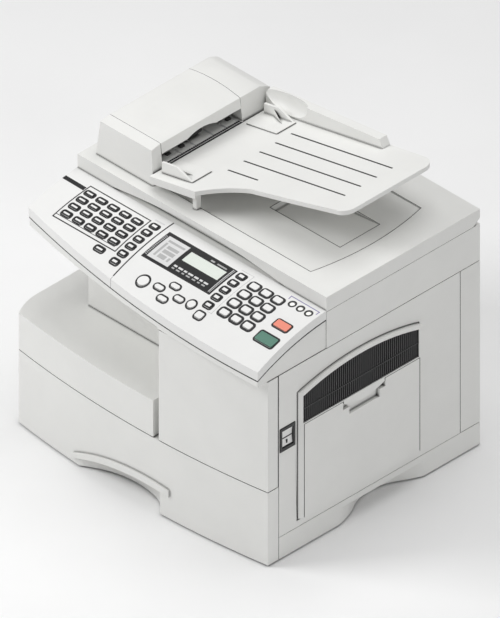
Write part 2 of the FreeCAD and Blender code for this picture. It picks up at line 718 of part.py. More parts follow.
def lid():
    """The lid with its paper output recess, finger crescent and pad."""
    low = SEAM.value + 0.6
    slab = box((LEFT, PANEL_REAR + 0.5, low), (RIGHT, REAR, LID_TOP))
    recess = common(
        outline([(-121, 178), (-121, -58.5), (207, -58.5), (207, 178, 221, 60)], "XY", 415, 40),
        outline([(-121, 424), (20, 438), (225, 439.2), (225, 460), (-121, 460)], "XZ", 200, 300))
    scoop = common(
        box((42, 20, 415), (191.5, 104.5, 460)),
        outline([(42, 426.4), (191.5, 438.4), (191.5, 460), (42, 460)], "XZ", 200, 300))
    crescent = outline([(-205, low - 1), (-205, low), (198, low, -4, low + 17.5), (198, low - 1)],
                       "XZ", PANEL_REAR + 14, 20)
    rear_edge = outline([(226, low), (241, 424.5), (245, 424.5), (245, low - 2), (226, low - 2)],
                        "YZ", LEFT - 5, 560)
    notches = [box((x - 12, 221, low - 1), (x + 12, REAR + 2, 431)) for x in HINGE_SPOTS]
    bores = [rod((x - 21, HINGE_Y, HINGE_Z), 3.05, 42, "X") for x in HINGE_SPOTS]
    hollows = [box((LEFT + 3, PANEL_REAR + 18, low - 1), (RIGHT - 3, 222, 420)),
               box((LEFT + 3, -60, low), (-125, 178, LID_TOP - 3)),
               box((226, -60, low), (RIGHT - 3, 178, LID_TOP - 3)),
               box((-150, 182, low), (160, 220, LID_TOP - 3))]
    node("lid_cover", cut(slab, recess, scoop, crescent, rear_edge, *notches, *bores, *hollows))
    node("lid_pad", box((-186, -58, low), (136, 164, 419.8)))
    posts = []
    for x in HINGE_SPOTS:
        posts.append(box((x - 11, 227, SEAM), (x + 11, 238, HINGE_Z + 4)))
        posts.append(rod((x - 20, HINGE_Y, HINGE_Z), 3, 40, "X"))
    node("lid_hinges", fuse(*posts))


def feeder_section(y0, y1, inset=0.0, z_low=441.0, z_right=None):
    """The feeder's crowned cross-section between two places along Y."""
    left = cell("adf_left").value + inset
    right = cell("adf_right").value - inset
    top = cell("adf_top").value - inset
    lean = 6.5
    points = [(left, z_low), (left + lean, top), (right - lean, top, (left + right) / 2, top + 6)]
    if z_right is None:
        points.append((right, z_low))
    else:
        points += [(right - lean * 0.6, z_right), (right - lean - 3, z_right), (right - 14, z_low)]
    return outline(points, "XZ", y1, y1 - y0)


def feeder_crown(inset=0.0):
    """The feeder's outline seen from the side: it falls away at the rear."""
    front = cell("adf_front").value
    rear = cell("adf_rear").value
    return outline(
        [
            (front + inset, 430), (front + inset + 3, 503 - inset),
            (125, 514 - inset, 20, 515 - inset), (rear - inset, 496 - inset, 160, 508 - inset),
            (rear - inset, 430),
        ],
        "YZ", -300, 400)


def feeder():
    """The document feeder: base with cheeks, hinged cover, tray, guides and roller."""
    front = cell("adf_front").value
    rear = cell("adf_rear").value
    front_cheek = feeder_section(front, -48)
    rear_cheek = feeder_section(124, rear)
    floor = box((cell("adf_left") + 0.5, -49, 441), (cell("adf_right") - 1, 125, cell("adf_deck")))
    hollow_rear = box((-230, 128, 438), (-134, rear - 4, 490))
    hollow_front = box((-230, front + 4, 438), (-134, -52, 490))
    pins = [rod((-239, -49, 462), 2.5, 7, "Y"), rod((-239, 118, 462), 2.5, 7, "Y")]
    axle_way = rod((-150, -53, 476), 4.05, 182, "Y")
    ramp = box((-176, -49, 441), (cell("adf_right") - 0.5, 125, 464.5))
    base = cut(fuse(common(fuse(front_cheek, rear_cheek), feeder_crown()), floor, ramp, *pins), hollow_rear,
               hollow_front, axle_way)
    node("adf_base", base)
    shell = common(feeder_section(-47.3, 123.3, 0, 456, 488), feeder_crown())
    inside = common(feeder_section(-60, 140, 3, 440, None), feeder_crown(3))
    mouth = box((-140, -60, 430), (-100, 140, 488))
    arch = outline([(8, 480), (8, 488), (70, 488, 39, 494), (70, 480)], "YZ", -140, 40)
    boss = box((-243, -47.3, 457), (-234, 123.3, 467))
    bore = rod((-239, -48, 462), 2.55, 8, "Y")
    other_bore = rod((-239, 116, 462), 2.55, 8, "Y")
    node("adf_cover", cut(fuse(cut(shell, inside, mouth, arch), boss), bore, other_bore))
    axle = fuse(rod((-150, -52, 476), 4, 180, "Y"), rod((-150, 20, 476), 9.5, 34, "Y"),
                rod((-150, -30, 476), 8, 12, "Y"), rod((-150, 92, 476), 8, 12, "Y"))
    node("adf_roller", axle)


def tray_top(x):
    """The height of the document tray's surface at x."""
    return 464 + cell("tray_rise").value * (x + 123)


def tray_layer(above, below):
    """A sloped layer over the whole tray, between two heights from its surface."""
    return outline(
        [
            (-130, tray_top(-130) + below), (240, tray_top(240) + below),
            (240, tray_top(240) + above), (-130, tray_top(-130) + above),
        ],
        "XZ", 260, 400)


def document_tray():
    """The sloped document tray with its swept front edge, ribs' slots and rear wall."""
    right = cell("tray_right").value
    plan = outline(
        [
            (-120, 188), (-120, -79), (-22, -79), (48, -28, 12, -46), (212, -8.5, 130, -19),
            (right, 12, 226, -3), (right, 166), (206, 188, 223, 182),
        ],
        "XY", 440, 140)
    plate = common(plan, tray_layer(0, -8))
    slots = []
    for index in range(5):
        y = -2.5 + 34 * index
        end = 190 if index else 36
        slots.append(box((-29, y, 440), (end, y + 2.6, 580)))
    grooves = common(fuse(*slots), tray_layer(2, -2))
    wall = common(box((-120, 172, 440), (132, 188, 600)), outline(
        [
            (-120, tray_top(-120) - 5), (-120, tray_top(-120) + 35), (124, tray_top(124) + 16),
            (132, tray_top(132)), (132, tray_top(132) - 5),
        ],
        "XZ", 260, 400))
    scoop = add("Part::Ellipsoid", "scoop")
    for prop, radius in (("Radius1", 28), ("Radius2", 46), ("Radius3", 14)):
        bind(scoop, prop, radius)
    place(scoop, (-77, 172, 506))
    leg = box((-38, -68, 441), (-30, -58, tray_top(-34) - 4))
    skirt = common(box((-120, -79, 441), (-22, -76, 600)), outline(
        [(-120, 452), (-120, tray_top(-120) - 4), (-22, tray_top(-22) - 4), (-22, tray_top(-22) - 14)],
        "XZ", 260, 400))
    node("adf_tray", fuse(cut(plate, grooves), cut(wall, scoop), leg, skirt))
    for label, low_y, high_y, fence_y in (
            ("adf_guide_front", -61, -19, -61), ("adf_guide_rear", 121, 163, 159)):
        foot = common(box((-112, low_y, 440), (-46, high_y, 600)), tray_layer(2.5, 0.3))
        fence = outline(
            [
                (-112, tray_top(-112) + 0.3), (-46, tray_top(-46) + 0.3),
                (-80, tray_top(-80) + 20), (-112, tray_top(-112) + 20),
            ],
            "XZ", fence_y + 4, 4)
        node(label, fuse(foot, fence))


scanner_base()
scanner_inside()
control_panel()
lid()
feeder()
document_tray()

# ---- checks and export -------------------------------------------------------------------------
doc.recompute()
for item in doc.Objects:
    if "Invalid" in item.State or "Error" in item.State:
        raise RuntimeError("%s did not recompute: %s" % (item.Label, item.State))
os.makedirs("parts", exist_ok=True)
for label, item in sorted(nodes.items()):
    if item.Shape.isNull() or not item.Shape.isValid() or not item.Shape.Solids:
        raise RuntimeError("%s is not a valid solid" % label)
    item.Shape.exportStep("parts/%s.step" % label)
    print("%-22s %d solids %10.1f cm3" % (label, len(item.Shape.Solids), item.Shape.Volume / 1000))
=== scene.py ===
import json
import math

import bmesh
import bpy
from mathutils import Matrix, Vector
from mathutils.bvhtree import BVHTree
from mathutils.geometry import convex_hull_2d


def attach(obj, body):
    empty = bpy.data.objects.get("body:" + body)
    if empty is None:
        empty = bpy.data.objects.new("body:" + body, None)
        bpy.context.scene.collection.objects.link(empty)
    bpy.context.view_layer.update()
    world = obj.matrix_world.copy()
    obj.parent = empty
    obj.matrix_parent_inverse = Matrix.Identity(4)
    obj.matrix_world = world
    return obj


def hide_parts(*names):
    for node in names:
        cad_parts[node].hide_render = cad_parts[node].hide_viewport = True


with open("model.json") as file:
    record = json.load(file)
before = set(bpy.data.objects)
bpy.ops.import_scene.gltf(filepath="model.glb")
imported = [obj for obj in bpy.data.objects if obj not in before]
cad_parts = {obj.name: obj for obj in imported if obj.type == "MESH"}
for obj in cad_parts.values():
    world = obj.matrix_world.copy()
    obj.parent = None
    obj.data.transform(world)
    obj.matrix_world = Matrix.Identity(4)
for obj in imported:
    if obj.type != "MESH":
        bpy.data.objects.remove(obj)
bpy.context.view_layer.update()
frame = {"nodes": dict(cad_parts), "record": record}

MM = 0.001

# The control panel's top is part of a cylinder along X: its centre and radius in millimetres.
PANEL_Y = -61.5
PANEL_Z = 24.2
PANEL_RADIUS = 392.8
# The most that rounding may add to a shape's area before it counts as folded over.
FOLD_LIMIT = 1.005
# Points closer than this, in metres, are one point; faces that meet at less than this angle are one.
MERGE_REACH = 0.00001
FLAT_ANGLE = math.radians(0.6)
# Edges sharper than BEVEL_ANGLE are rounded; shading stays crisp at edges sharper than SHARP_ANGLE.
BEVEL_ANGLE = math.radians(38)
SHARP_ANGLE = 40
# How far printed lines, painted shade lines and rims reach into the surface that carries them, in
# millimetres.
BURIED = 0.5
BURIED_RIM = 0.6
BURIED_MARK = 0.4


# ---- materials ----------------------------------------------------------------------------------
def new_material(name):
    """An empty node material: the material, its tree and its shader."""
    made = bpy.data.materials.new(name)
    made.use_nodes = True
    tree = made.node_tree
    tree.nodes.clear()
    output = tree.nodes.new("ShaderNodeOutputMaterial")
    shader = tree.nodes.new("ShaderNodeBsdfPrincipled")
    tree.links.new(shader.outputs["BSDF"], output.inputs["Surface"])
    return made, tree, shader


def noise(tree, scale, detail=3.0, roughness=0.5, stretch=None):
    """Noise in object space, in cells per metre; stretch scales its axes."""
    place = tree.nodes.new("ShaderNodeTexCoord")
    mapping = tree.nodes.new("ShaderNodeMapping")
    tree.links.new(place.outputs["Object"], mapping.inputs["Vector"])
    if stretch:
        mapping.inputs["Scale"].default_value = stretch
    texture = tree.nodes.new("ShaderNodeTexNoise")
    texture.inputs["Scale"].default_value = scale
    texture.inputs["Detail"].default_value = detail
    texture.inputs["Roughness"].default_value = roughness
    tree.links.new(mapping.outputs["Vector"], texture.inputs["Vector"])
    return texture.outputs["Fac"]


def spread(tree, value, low, high):
    """A noise value stretched over low to high."""
    node = tree.nodes.new("ShaderNodeMapRange")
    node.inputs["From Min"].default_value = 0.3
    node.inputs["From Max"].default_value = 0.7
    node.inputs["To Min"].default_value = low
    node.inputs["To Max"].default_value = high
    tree.links.new(value, node.inputs["Value"])
    return node.outputs["Result"]


def tinted(tree, value, first, second):
    """A colour between first and second by value."""
    node = tree.nodes.new("ShaderNodeMix")
    node.data_type = "RGBA"
    node.inputs[6].default_value = (*first, 1)
    node.inputs[7].default_value = (*second, 1)
    tree.links.new(value, node.inputs[0])
    return node.outputs[2]


def bumped(tree, shader, value, strength, depth):
    """Raise the surface by value, depth metres at most."""
    node = tree.nodes.new("ShaderNodeBump")
    node.inputs["Strength"].default_value = strength
    node.inputs["Distance"].default_value = depth
    tree.links.new(value, node.inputs["Height"])
    tree.links.new(node.outputs["Normal"], shader.inputs["Normal"])


def with_painted_shade(tree, unshaded, colour, reach):
    """The unshaded colour with painted shade: darker where another surface is within reach."""
    closed = tree.nodes.new("ShaderNodeAmbientOcclusion")
    closed.samples = 8
    closed.inputs["Distance"].default_value = reach
    share = tree.nodes.new("ShaderNodeMapRange")
    share.inputs["From Min"].default_value = 0.30
    share.inputs["From Max"].default_value = 0.88
    tree.links.new(closed.outputs["AO"], share.inputs["Value"])
    node = tree.nodes.new("ShaderNodeMix")
    node.data_type = "RGBA"
    node.inputs[6].default_value = (*[value * 0.04 for value in colour], 1)
    tree.links.new(unshaded, node.inputs[7])
    tree.links.new(share.outputs["Result"], node.inputs[0])
    return node.outputs[2]


def finish_of(name, colour, rough=0.45, vary=0.03, grain=1500, relief=0.25, metal=0.0, coat=0.0,
              glow=None, stretch=None, depth=0.00008, painted_shade=0.0):
    """A surface with slight cloudy colour and gloss changes and a fine grain.

    painted_shade is the reach in metres of the painted shade that darkens seams and inner corners."""
    made, tree, shader = new_material(name)
    cloudy = noise(tree, 9.0, 4.0, 0.6)
    darker = [value * (1 - vary) for value in colour]
    lighter = [min(1.0, value * (1 + vary)) for value in colour]
    mottled = tinted(tree, spread(tree, cloudy, 0, 1), darker, lighter)
    # Painted shade: the colour falls towards near-black where another surface is within reach, in seams,
    # gaps and inner corners.
    if painted_shade:
        mottled = with_painted_shade(tree, mottled, colour, painted_shade)
    tree.links.new(mottled, shader.inputs["Base Color"])
    fine = noise(tree, grain, 2.0, 0.5, stretch)
    blotches = noise(tree, 60.0, 3.0, 0.6, stretch)
    tree.links.new(spread(tree, blotches, rough * 0.88, min(1.0, rough * 1.12)),
                   shader.inputs["Roughness"])
    bumped(tree, shader, fine, relief, depth)
    shader.inputs["Metallic"].default_value = metal
    shader.inputs["Coat Weight"].default_value = coat
    shader.inputs["Coat Roughness"].default_value = 0.12
    if glow:
        shader.inputs["Emission Color"].default_value = (*glow, 1)
        shader.inputs["Emission Strength"].default_value = 0.3
    return made


def lcd_finish():
    """A pale reflective display with a fine pixel grid under its cover."""
    made, tree, shader = new_material("lcd")
    place = tree.nodes.new("ShaderNodeTexCoord")
    grid = tree.nodes.new("ShaderNodeTexBrick")
    grid.offset = 0.0
    grid.inputs["Scale"].default_value = 1000.0
    grid.inputs["Brick Width"].default_value = 0.72
    grid.inputs["Row Height"].default_value = 0.72
    grid.inputs["Mortar Size"].default_value = 0.07
    grid.inputs["Color1"].default_value = (0.75, 0.80, 0.74, 1)
    grid.inputs["Color2"].default_value = (0.72, 0.77, 0.71, 1)
    grid.inputs["Mortar"].default_value = (0.80, 0.84, 0.80, 1)
    tree.links.new(place.outputs["Object"], grid.inputs["Vector"])
    tree.links.new(grid.outputs["Color"], shader.inputs["Base Color"])
    tree.links.new(spread(tree, noise(tree, 80.0), 0.16, 0.24), shader.inputs["Roughness"])
    shader.inputs["Coat Weight"].default_value = 0.6
    shader.inputs["Coat Roughness"].default_value = 0.05
    return made


def glass_finish():
    """The flatbed glass, over a dark scanner well."""
    made, tree, shader = new_material("glass")
    shader.inputs["Transmission Weight"].default_value = 0.85
    shader.inputs["IOR"].default_value = 1.5
    tree.links.new(tinted(tree, noise(tree, 30.0), (0.80, 0.86, 0.85), (0.86, 0.91, 0.90)),
                   shader.inputs["Base Color"])
    tree.links.new(spread(tree, noise(tree, 90.0), 0.02, 0.06), shader.inputs["Roughness"])
    return made


WHITE = (0.79, 0.79, 0.77)
# Reach in metres of the painted shade that darkens the casing's and panel's seams, gaps and inner corners.
SEAM_REACH = 0.006
FINISHES = {
    "casing": finish_of("casing", WHITE, 0.46, 0.022, 1500, 0.30, painted_shade=SEAM_REACH),
    "panel": finish_of("panel", (0.80, 0.80, 0.79), 0.38, 0.018, 2200, 0.15, painted_shade=SEAM_REACH),
    "inner_grey": finish_of("inner_grey", (0.55, 0.56, 0.56), 0.5, 0.03, 1500, 0.3),
    "black_plastic": finish_of("black_plastic", (0.014, 0.014, 0.015), 0.36, 0.15, 1600, 0.2, coat=0.15),
    "lcd": lcd_finish(),
    "key_grey": finish_of("key_grey", (0.83, 0.83, 0.82), 0.34, 0.02, 2500, 0.12),
    "key_green": finish_of("key_green", (0.105, 0.235, 0.180), 0.34, 0.05, 2500, 0.12),
    "key_red": finish_of("key_red", (0.86, 0.285, 0.205), 0.34, 0.04, 2500, 0.12),
    "lens": finish_of("lens", (0.80, 0.80, 0.78), 0.16, 0.04, 900, 0.05, coat=0.8, glow=(0.8, 0.8, 0.75)),
    "steel": finish_of("steel", (0.55, 0.55, 0.56), 0.32, 0.05, 700, 0.3, metal=1.0, stretch=(1, 30, 30)),
    "glass": glass_finish(),
    "roller_rubber": finish_of("roller_rubber", (0.035, 0.034, 0.034), 0.78, 0.2, 900, 0.5),
    "foot_rubber": finish_of("foot_rubber", (0.03, 0.03, 0.03), 0.85, 0.2, 800, 0.6),
    "foam_white": finish_of("foam_white", (0.86, 0.86, 0.85), 0.9, 0.03, 500, 0.5, depth=0.0004),
    "board": finish_of("board", (0.03, 0.13, 0.07), 0.45, 0.25, 260, 0.5, depth=0.0004),
    "drum_coat": finish_of("drum_coat", (0.05, 0.16, 0.17), 0.15, 0.05, 900, 0.05, coat=0.6),
}
INK = finish_of("ink", (0.012, 0.012, 0.013), 0.55, 0.2, 2500, 0.1)
PRINT_GREY = finish_of("print_grey", (0.42, 0.42, 0.42), 0.5, 0.1, 2500, 0.1)
PRINT_PALE = finish_of("print_pale", (0.68, 0.68, 0.68), 0.5, 0.06, 2500, 0.1)
PRINT_LILAC = finish_of("print_lilac", (0.235, 0.205, 0.42), 0.5, 0.08, 2500, 0.1)
KEY_SKIRT = finish_of("key_skirt", (0.02, 0.02, 0.021), 0.45, 0.2, 1800, 0.2)

SLOTS = {row["node"]: row["material_slot"] for row in frame["record"]["subparts"]}
BODIES = {name: body for body, names in frame["record"]["behaviour"]["bodies"].items() for name in names}
NODES = frame["nodes"]


# ---- mesh helpers -------------------------------------------------------------------------------
def add_piece(name, mesh_data, body, materials):
    """Link a mesh in the row frame, dress it and let it ride on its body."""
    item = bpy.data.objects.new(name, mesh_data)
    bpy.context.scene.collection.objects.link(item)
    item.data.materials.clear()
    for material in materials:
        item.data.materials.append(material)
    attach(item, body)
    return item


def shaded(mesh_data, angle=32):
    """Smooth shading that keeps edges sharper than angle."""
    mesh_data.shade_smooth()
    mesh_data.set_sharp_from_angle(angle=math.radians(angle))


def drawn_area(mesh_data):
    """The area of a mesh as it is drawn, in triangles."""
    mesh_data.calc_loop_triangles()
    return sum(triangle.area for triangle in mesh_data.loop_triangles)


def rounded(item, source, joined, width, segments):
    """The source's mesh with rounded edges; joined merges its flat triangles first."""
    shell = bmesh.new()
    shell.from_mesh(source)
    bmesh.ops.remove_doubles(shell, verts=shell.verts, dist=MERGE_REACH)
    if joined:
        bmesh.ops.dissolve_limit(shell, angle_limit=FLAT_ANGLE, verts=shell.verts, edges=shell.edges)
    shell.to_mesh(item.data)
    shell.free()
    for face in item.data.polygons:
        face.material_index = 0
    bevel = item.modifiers.new("round", "BEVEL")
    bevel.width = width * MM
    bevel.segments = segments
    bevel.limit_method = "ANGLE"
    bevel.angle_limit = BEVEL_ANGLE
    bevel.miter_outer = "MITER_ARC"
    bevel.material = 1
    bpy.context.view_layer.update()
    graph = bpy.context.evaluated_depsgraph_get()
    final = bpy.data.meshes.new_from_object(item.evaluated_get(graph))
    item.modifiers.clear()
    return final


def softened(node, width=0.7, segments=2, edge=None):
    """A CAD node's own shape with rounded edges, shown in its place. Where rounding the joined
    faces adds area, a face has folded over, so the loose triangles are rounded instead."""
    source = NODES[node].data
    slot = SLOTS[node]
    item = add_piece("soft_" + node, bpy.data.meshes.new(node + "_form"), BODIES[node],
                     [FINISHES[slot], edge or FINISHES[slot]])
    final = rounded(item, source, True, width, segments)
    if drawn_area(final) > drawn_area(source) * FOLD_LIMIT:
        final = rounded(item, source, False, width, segments)
    item.data = final
    shaded(final, SHARP_ANGLE)
    flat = item.modifiers.new("flat", "WEIGHTED_NORMAL")
    flat.keep_sharp = True
    flat.weight = 100
    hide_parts(node)
    return item


class Build:
    """Collects faces in millimetres and makes one mesh of them."""

    def __init__(self):
        self.shell = bmesh.new()

    def loft(self, rings, closed=True):
        """Rings of points, each joined to the next, with the first and last filled."""
        made = [[self.shell.verts.new(Vector(point) * MM) for point in ring] for ring in rings]
        count = len(made[0])
        for low, high in zip(made, made[1:]):
            for index in range(count):
                after = (index + 1) % count
                self.shell.faces.new((low[index], low[after], high[after], high[index]))
        if closed:
            self.shell.faces.new(reversed(made[0]))
            self.shell.faces.new(made[-1])

    def ring_band(self, inner, outer, low, high):
        """A flat band between two outlines; low and high give z from x and y."""
        loops = [
            [(x, y, low(x, y)) for x, y in inner],
            [(x, y, high(x, y)) for x, y in inner],
            [(x, y, high(x, y)) for x, y in outer],
            [(x, y, low(x, y)) for x, y in outer],
        ]
        made = [[self.shell.verts.new(Vector(point) * MM) for point in loop] for loop in loops]
        count = len(inner)
        for this, that in zip(made, made[1:] + made[:1]):
            for index in range(count):
                after = (index + 1) % count
                self.shell.faces.new((this[index], this[after], that[after], that[index]))

    def block(self, low, high, round_by=0.0):
        """A box with its edges rounded."""
        x0, y0, z0 = low
        x1, y1, z1 = high
        before = set(self.shell.verts)
        self.loft([[(x0, y0, z), (x1, y0, z), (x1, y1, z), (x0, y1, z)] for z in (z0, z1)])
        if round_by:
            fresh = [vert for vert in self.shell.verts if vert not in before]
            edges = {edge for vert in fresh for edge in vert.link_edges}
            bmesh.ops.bevel(self.shell, geom=list(edges), offset=round_by * MM, segments=2,
                            affect="EDGES", profile=0.5)

    def piece(self, name, body, materials, angle=32):
        """Finish the mesh as a piece on a body."""
        bmesh.ops.recalc_face_normals(self.shell, faces=self.shell.faces)
        mesh_data = bpy.data.meshes.new(name)
        self.shell.to_mesh(mesh_data)
        self.shell.free()
        shaded(mesh_data, angle)
        return add_piece(name, mesh_data, body, materials)


def panel_z(y):
    """The height of the control panel's top at y, in millimetres."""
    return PANEL_Z + math.sqrt(PANEL_RADIUS ** 2 - (y - PANEL_Y) ** 2)


def islands(node):
    """The separate solids of a node, each as a list of points in millimetres."""
    shell = bmesh.new()
    shell.from_mesh(NODES[node].data)
    bmesh.ops.remove_doubles(shell, verts=shell.verts, dist=MERGE_REACH)
    left = set(shell.verts)
    groups = []
    while left:
        stack = [left.pop()]
        group = []
        while stack:
            vert = stack.pop()
            group.append(vert.co / MM)
            for edge in vert.link_edges:
                other = edge.other_vert(vert)
                if other in left:
                    left.remove(other)
                    stack.append(other)
        groups.append(group)
    shell.free()
    return sorted(groups, key=lambda group: (round(min(p.y for p in group)), min(p.x for p in group)))


def hull(points):
    """The outline of points seen from above."""
    flat = [Vector((point.x, point.y)) for point in points]
    return [flat[index] for index in convex_hull_2d(flat)]


def grown(outline, by, corners=5):
    """An outline moved out by a distance, with rounded corners."""
    count = len(outline)
    area = sum(a.x * b.y - b.x * a.y for a, b in zip(outline, outline[1:] + outline[:1]))
    ring = outline if area > 0 else outline[::-1]
    made = []
    for index in range(count):
        before = ring[index] - ring[index - 1]
        after = ring[(index + 1) % count] - ring[index]
        first = math.atan2(-before.x, before.y)
        second = math.atan2(-after.x, after.y)
        turn = (second - first + math.pi) % (2 * math.pi) - math.pi
        steps = corners if abs(turn) > 0.5 else 2
        for step in range(steps):
            angle = first + turn * step / (steps - 1)
            made.append(ring[index] + Vector((math.cos(angle), math.sin(angle))) * by)
    return made


def surface_of(node):
    """A search tree over a CAD node's mesh."""
    shell = bmesh.new()
    shell.from_mesh(NODES[node].data)
    tree = BVHTree.FromBMesh(shell)
    shell.free()
    return tree


def height_on(tree, x, y, fallback):
    """The height of the first surface below a point, in millimetres."""
    hit = tree.ray_cast(Vector((x * MM, y * MM, 0.6)), Vector((0, 0, -1)))
    return hit[0].z / MM if hit[0] else fallback


def key_rims(node, clear, margin, lift=0.35):
    """Dark surrounds that lie on the panel round each key of a node."""
    build = Build()
    for group in islands(node):
        base = hull([point for point in group if point.z > panel_z(point.y) - 3])
        inner = grown(base, clear)
        outer = grown(base, margin)
        build.ring_band([(p.x, p.y) for p in inner], [(p.x, p.y) for p in outer],
                        lambda x, y: panel_z(y) - BURIED_RIM, lambda x, y: panel_z(y) + lift)
    return build.piece("rims_" + node, "chassis", [INK])


def panel_line(build, start, end, width, lift=0.3, step=5.0):
    """A raised line on the panel between two points, bent to its curve."""
    a = Vector(start)
    b = Vector(end)
    along = (b - a).normalized()
    side = Vector((-along.y, along.x)) * width / 2
    count = max(1, math.ceil((b - a).length / step))
    rings = []
    for index in range(count + 1):
        middle = a.lerp(b, index / count)
        ring = []
        for across, top in ((side, False), (-side, False), (-side, True), (side, True)):
            point = middle + across
            ring.append((point.x, point.y, panel_z(point.y) + (lift if top else -BURIED)))
        rings.append(ring)
    build.loft(rings)


def panel_path(name, points, width, material, closed=False, lift=0.3):
    """A chain of raised lines on the panel."""
    build = Build()
    ends = points[1:] + (points[:1] if closed else [])
    for start, end in zip(points, ends):
        along = (Vector(end) - Vector(start)).normalized() * width / 2
        panel_line(build, Vector(start) - along, Vector(end) + along, width, lift)
    return build.piece(name, "chassis", [material])


# ---- the frame's own parts --------------------------------------------------------------------
for node, item in NODES.items():
    item.data.materials.clear()
    item.data.materials.append(FINISHES[SLOTS[node]])
    shaded(item.data)

SHELLS = {
    "base_frame": 0.8, "right_cover": 0.5, "left_cover": 0.8, "rear_cover": 1.0,
    "output_tray": 0.8, "output_fence": 0.6, "front_door": 0.8, "cassette_front": 0.8,
    "cassette_tray": 0.6, "scanner_base": 0.8, "one_touch_cover": 0.5, "panel_cover": 0.5,
    "display_bezel": 0.5, "lid_cover": 1.0, "lid_hinges": 0.8, "adf_base": 0.7, "adf_cover": 1.2,
    "adf_tray": 0.7, "adf_guide_front": 0.5, "adf_guide_rear": 0.5, "side_cover": 0.6,
    "bypass_door": 0.6, "bypass_guide_front": 0.5, "bypass_guide_rear": 0.5,
    "switch_frame": 0.5, "power_rocker": 0.5, "rear_sockets": 0.5, "lift_plate": 0.3,
    "width_guide_front": 0.5, "width_guide_rear": 0.5, "scan_carriage": 0.7, "lid_pad": 1.5,
    "toner_cartridge": 1.0, "feet": 0.5, "vent_grille": 0.25,
}
for node, width in SHELLS.items():
    softened(node, width)

for node, width in {"number_keys": 0.6, "menu_keys": 0.6, "start_key": 0.7, "stop_key": 0.7}.items():
    softened(node, width)
KEY_SKIRTS = {"one_touch_keys": 2.1, "function_keys": 1.9, "mode_keys": 1.9}
for node in KEY_SKIRTS:
    softened(node, KEY_SKIRTS[node], 2, KEY_SKIRT)
softened("display_window", 0.3)
softened("status_lights", 1.0, 3)

# ---- control panel ------------------------------------------------------------------------------
KEY_CLEARANCE = 0.62
RIM_WIDTHS = {
    "number_keys": 4.3, "menu_keys": 3.0, "one_touch_keys": 3.0, "function_keys": 3.0,
    "mode_keys": 3.0, "start_key": 3.0, "stop_key": 3.0, "status_lights": 3.0,
}
for node, margin in RIM_WIDTHS.items():
    key_rims(node, KEY_CLEARANCE, margin)

HAIRLINE = 0.8
ONE_TOUCH_FRAME = [(-215.6, -110.4), (-219.3, -188.2), (-85.6, -187.9), (-86.2, -110.2)]
panel_path("one_touch_frame", ONE_TOUCH_FRAME, 1.7, INK, closed=True)
panel_path("one_touch_inner_line", [(-218.6, -182.0), (-93.0, -182.0)], HAIRLINE, INK)
# Painted shade: a near-black strip along the seam between the panel's covers, where the gap between them
# falls into shade.
panel_path("panel_seam_line", [(-55.2, -92.5), (-55.2, -221.0)], 1.9, INK)
panel_path("mode_bracket", [(104.4, -104.6), (131.0, -104.0), (131.0, -197.2), (123.0, -197.2)],
           HAIRLINE, PRINT_PALE)
panel_path("light_bracket", [(208.2, -106.8), (207.4, -100.2), (267.6, -100.4), (267.3, -107.0)], 1.2,
           PRINT_LILAC)
panel_path("column_mark", [(-81.5, -104.0), (-64.0, -103.6)], 2.2, PRINT_PALE)
panel_path("plain_bar", [(-259.5, -119.9), (-222.0, -120.4)], 7.5, INK)

# ---- painted shade strip under the panel's skirt --------------------------------------------------
SKIRT_DROP = 16.05
SHADE_STRIP_INSET = 0.8
SHADE_STRIP_HEIGHT = 3.4
SHADE_STRIP_DEPTH = 2
SHADE_STRIP_REAR = -66
PANEL_SIDES = (min(point.x for point in sum(islands("one_touch_cover"), [])),
               max(point.x for point in sum(islands("panel_cover"), [])))
PANEL_FRONT = ((PANEL_SIDES[0], -196.0), (10.0, -234.0), (PANEL_SIDES[1], -239.0))


def circle_through(first, second, third):
    """The centre of the circle through three points, and its radius."""
    a = Vector(first)
    b = Vector(second) - a
    c = Vector(third) - a
    twice = 2 * (b.x * c.y - b.y * c.x)
    centre = a + Vector((c.y * b.length_squared - b.y * c.length_squared,
                         b.x * c.length_squared - c.x * b.length_squared)) / twice
    return centre, (centre - a).length


def front_run(inset, steps=48, side_steps=20):
    """Points along the panel's front edge and back along its right side, moved in by inset."""
    centre, radius = circle_through(*PANEL_FRONT)
    points = []
    for index in range(steps + 1):
        x = PANEL_SIDES[0] + inset + (PANEL_SIDES[1] - PANEL_SIDES[0] - 2 * inset) * index / steps
        points.append((x, centre.y - math.sqrt((radius - inset) ** 2 - (x - centre.x) ** 2)))
    corner_y = points[steps][1]
    for index in range(1, side_steps + 1):
        points.append((PANEL_SIDES[1] - inset, corner_y + (SHADE_STRIP_REAR - corner_y) * index / side_steps))
    return points


# Painted shade: a near-black strip set just inside the panel's skirt, where the gap under its overhang falls
# into shade.
skirt_shade_strip = Build()
shade_strip_rings = []
for near, far in zip(front_run(SHADE_STRIP_INSET), front_run(SHADE_STRIP_INSET + SHADE_STRIP_DEPTH)):
    top = panel_z(near[1]) - SKIRT_DROP
    shade_strip_rings.append([(*near, top - SHADE_STRIP_HEIGHT), (*far, top - SHADE_STRIP_HEIGHT), (*far, top), (*near, top)])
skirt_shade_strip.loft(shade_strip_rings)
skirt_shade_strip.piece("skirt_painted_shade", "chassis", [INK])

# ---- display -------------------------------------------------------------------------------------
BEZEL = surface_of("display_bezel")


def bezel_z(x, y):
    """The height of the display surround at a place."""
    return height_on(BEZEL, x, y, panel_z(y))


def bezel_patch(build, x0, y0, x1, y1, lift=0.25, steps=6):
    """A thin raised patch on the display surround."""
    rings = []
    for index in range(steps + 1):
        y = y0 + (y1 - y0) * index / steps
        z = bezel_z((x0 + x1) / 2, y)
        rings.append([(x0, y, z - BURIED_MARK), (x1, y, z - BURIED_MARK),
                      (x1, y, z + lift), (x0, y, z + lift)])
    build.loft(rings)


def bezel_print(name, patches, material, lift=0.25):
    """Several printed patches as one piece."""
    build = Build()
    for patch in patches:
        bezel_patch(build, *patch, lift=lift)
    return build.piece(name, "chassis", [material])


